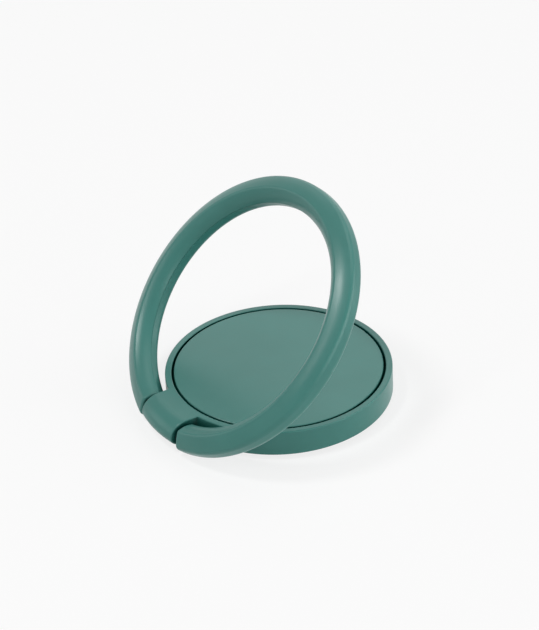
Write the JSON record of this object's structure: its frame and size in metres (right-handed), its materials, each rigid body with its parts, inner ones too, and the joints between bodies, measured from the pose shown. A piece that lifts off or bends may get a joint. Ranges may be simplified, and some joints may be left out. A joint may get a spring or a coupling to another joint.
{
  "type": "phone ring holder",
  "caption": "Round stick-on phone ring holder: a swivelling disc with an inlaid plate and a finger ring hinged at its edge that folds flat around it.",
  "frame": {"origin": "centre of the adhesive face, on the swivel axis", "axes": "+Z away from the phone along the swivel axis, +X along the hinge, the hinge on the -Y side"},
  "size_m": [0.0408, 0.0361, 0.0304],
  "materials": {
    "teal_coat": "matte soft-touch coat in a grey teal green over a zinc casting or a steel disc",
    "plate_steel": "plain pressed steel, lightly brushed",
    "pin_steel": "ground steel pin",
    "spring_steel": "blackened spring steel",
    "nylon": "natural nylon sheet",
    "bonding_film": "clear-white double-sided film",
    "foam_tape": "black acrylic foam tape"
  },
  "bodies": {
    "base": {"adhesive_pad": "foam_tape", "base_plate": "plate_steel", "glide_washer": "nylon", "swivel_spring": "spring_steel", "retaining_washer": "plate_steel", "pivot_rivet": "plate_steel"},
    "swivel": {"swivel_frame": "teal_coat", "inlay_film": "bonding_film", "inlay_plate": "teal_coat", "hinge_pin": "pin_steel", "left_hinge_washer": "spring_steel", "right_hinge_washer": "spring_steel"},
    "ring": {"finger_ring": "teal_coat"}
  },
  "joints": [
    {"name": "swivel_turn", "type": "hinge", "parent": "base", "child": "swivel", "pos_m": [0, 0, 0.00225], "axis": [0, 0, 1], "continuous": true},
    {"name": "ring_flip", "type": "hinge", "parent": "swivel", "child": "ring", "pos_m": [0, -0.01786, 0.00228], "axis": [1, 0, 0], "range_deg": [-46.5, 133.5]}
  ]
}
